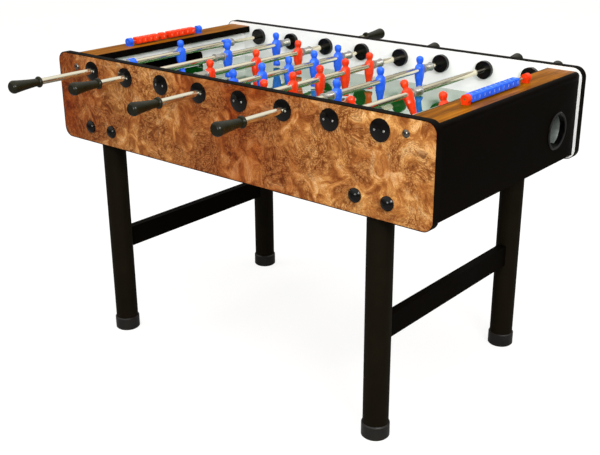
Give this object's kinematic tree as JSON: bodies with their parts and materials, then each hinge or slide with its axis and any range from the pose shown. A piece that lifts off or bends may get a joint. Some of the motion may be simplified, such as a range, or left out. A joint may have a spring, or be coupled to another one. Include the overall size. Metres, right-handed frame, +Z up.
{
  "type": "foosball table",
  "caption": "Foosball table with eight telescopic rods, red and blue figures, burl veneer side panels, score counters and round black legs.",
  "frame": {"origin": "on the floor under the centre of the cabinet", "axes": "+X along the pitch towards the end with the ball return cup, -Y out of the front side panel, +Z up"},
  "size_m": [1.361, 1.3419, 0.911],
  "materials": {
    "burl_veneer": "satin lacquer",
    "black_edging": "gloss",
    "white_laminate": "gloss",
    "black_laminate": "satin",
    "rail_wood": "satin lacquer",
    "field_board": "printed, matte",
    "field_glass": "polished",
    "plain_board": "raw",
    "black_sheet": "satin",
    "black_plastic": "moulded, gloss",
    "chrome_steel": "polished",
    "steel_rod": "ground",
    "blue_plastic": "moulded, gloss",
    "red_plastic": "moulded, gloss",
    "black_enamel": "powder coat, gloss",
    "black_rubber": "moulded"
  },
  "bodies": {
    "cabinet": {"front_panel": "burl_veneer", "back_panel": "burl_veneer", "edge_trims": "black_edging", "wall_liners": "white_laminate", "end_panel_left": "black_laminate", "end_panel_right": "black_laminate", "end_walls": "white_laminate", "end_rails": "rail_wood", "playfield_board": "field_board", "playfield_glass": "field_glass", "bottom_board": "plain_board", "ball_runs": "black_sheet", "ball_cup": "black_plastic", "handle_bushes": "black_plastic", "end_domes": "black_plastic", "bearing_nuts": "black_plastic", "legs": "black_enamel", "foot_cups": "black_rubber", "crossbars": "black_enamel", "leg_bolts": "black_enamel", "rail_caps": "chrome_steel", "counter_posts_left": "blue_plastic", "counter_posts_right": "red_plastic", "counter_rods": "steel_rod"},
    "rod_1_core": {"rod_1_inner_rod": "steel_rod"},
    "rod_1_player": {"rod_1_tube": "chrome_steel", "rod_1_men": "blue_plastic", "rod_1_handle": "black_plastic"},
    "rod_2_core": {"rod_2_inner_rod": "steel_rod"},
    "rod_2_player": {"rod_2_tube": "chrome_steel", "rod_2_men": "blue_plastic", "rod_2_handle": "black_plastic"},
    "rod_3_core": {"rod_3_inner_rod": "steel_rod"},
    "rod_3_player": {"rod_3_tube": "chrome_steel", "rod_3_men": "red_plastic", "rod_3_handle": "black_plastic"},
    "rod_4_core": {"rod_4_inner_rod": "steel_rod"},
    "rod_4_player": {"rod_4_tube": "chrome_steel", "rod_4_men": "blue_plastic", "rod_4_handle": "black_plastic"},
    "rod_5_core": {"rod_5_inner_rod": "steel_rod"},
    "rod_5_player": {"rod_5_tube": "chrome_steel", "rod_5_men": "red_plastic", "rod_5_handle": "black_plastic"},
    "rod_6_core": {"rod_6_inner_rod": "steel_rod"},
    "rod_6_player": {"rod_6_tube": "chrome_steel", "rod_6_men": "blue_plastic", "rod_6_handle": "black_plastic"},
    "rod_7_core": {"rod_7_inner_rod": "steel_rod"},
    "rod_7_player": {"rod_7_tube": "chrome_steel", "rod_7_men": "red_plastic", "rod_7_handle": "black_plastic"},
    "rod_8_core": {"rod_8_inner_rod": "steel_rod"},
    "rod_8_player": {"rod_8_tube": "chrome_steel", "rod_8_men": "red_plastic", "rod_8_handle": "black_plastic"},
    "counter_left_near": {"counter_cubes_left_near": "red_plastic"},
    "counter_left_middle": {"counter_cubes_left_middle": "red_plastic"},
    "counter_left_far": {"counter_cubes_left_far": "red_plastic"},
    "counter_right": {"counter_cubes_right": "blue_plastic"}
  },
  "joints": [
    {"name": "rod_1_spin", "type": "hinge", "parent": "cabinet", "child": "rod_1_core", "pos_m": [-0.525, 0, 0.855], "axis": [0, 1, 0], "range_deg": [-222, 85]},
    {"name": "rod_1_slide", "type": "slide", "parent": "rod_1_core", "child": "rod_1_player", "axis": [0, 1, 0], "range_m": [-0.08707, 0.12793]},
    {"name": "rod_2_spin", "type": "hinge", "parent": "cabinet", "child": "rod_2_core", "pos_m": [-0.375, 0, 0.855], "axis": [0, 1, 0], "continuous": true},
    {"name": "rod_2_slide", "type": "slide", "parent": "rod_2_core", "child": "rod_2_player", "axis": [0, 1, 0], "range_m": [-0.32883, 0.01017]},
    {"name": "rod_3_spin", "type": "hinge", "parent": "cabinet", "child": "rod_3_core", "pos_m": [-0.225, 0, 0.855], "axis": [0, 1, 0], "continuous": true},
    {"name": "rod_3_slide", "type": "slide", "parent": "rod_3_core", "child": "rod_3_player", "axis": [0, 1, 0], "range_m": [-0.10005, 0.07395]},
    {"name": "rod_4_spin", "type": "hinge", "parent": "cabinet", "child": "rod_4_core", "pos_m": [-0.075, 0, 0.855], "axis": [0, 1, 0], "continuous": true},
    {"name": "rod_4_slide", "type": "slide", "parent": "rod_4_core", "child": "rod_4_player", "axis": [0, 1, 0], "range_m": [-0.04116, 0.05684]},
    {"name": "rod_5_spin", "type": "hinge", "parent": "cabinet", "child": "rod_5_core", "pos_m": [0.075, 0, 0.855], "axis": [0, 1, 0], "continuous": true},
    {"name": "rod_5_slide", "type": "slide", "parent": "rod_5_core", "child": "rod_5_player", "axis": [0, 1, 0], "range_m": [-0.00196, 0.09604]},
    {"name": "rod_6_spin", "type": "hinge", "parent": "cabinet", "child": "rod_6_core", "pos_m": [0.225, 0, 0.855], "axis": [0, 1, 0], "continuous": true},
    {"name": "rod_6_slide", "type": "slide", "parent": "rod_6_core", "child": "rod_6_player", "axis": [0, 1, 0], "range_m": [-0.12528, 0.04872]},
    {"name": "rod_7_spin", "type": "hinge", "parent": "cabinet", "child": "rod_7_core", "pos_m": [0.375, 0, 0.855], "axis": [0, 1, 0], "continuous": true},
    {"name": "rod_7_slide", "type": "slide", "parent": "rod_7_core", "child": "rod_7_player", "axis": [0, 1, 0], "range_m": [-0.00509, 0.33391]},
    {"name": "rod_8_spin", "type": "hinge", "parent": "cabinet", "child": "rod_8_core", "pos_m": [0.525, 0, 0.855], "axis": [0, 1, 0], "range_deg": [-75, 232]},
    {"name": "rod_8_slide", "type": "slide", "parent": "rod_8_core", "child": "rod_8_player", "axis": [0, 1, 0], "range_m": [-0.00215, 0.21285]},
    {"name": "counter_left_near_slide", "type": "slide", "parent": "cabinet", "child": "counter_left_near", "axis": [0, 1, 0], "range_m": [-0.0133, 0.0046]},
    {"name": "counter_left_middle_slide", "type": "slide", "parent": "cabinet", "child": "counter_left_middle", "axis": [0, 1, 0], "range_m": [-0.0046, 0.0049]},
    {"name": "counter_left_far_slide", "type": "slide", "parent": "cabinet", "child": "counter_left_far", "axis": [0, 1, 0], "range_m": [-0.0049, 0.0149]},
    {"name": "counter_right_slide", "type": "slide", "parent": "cabinet", "child": "counter_right", "axis": [0, 1, 0], "range_m": [-0.0019, 0.0459]}
  ]
}
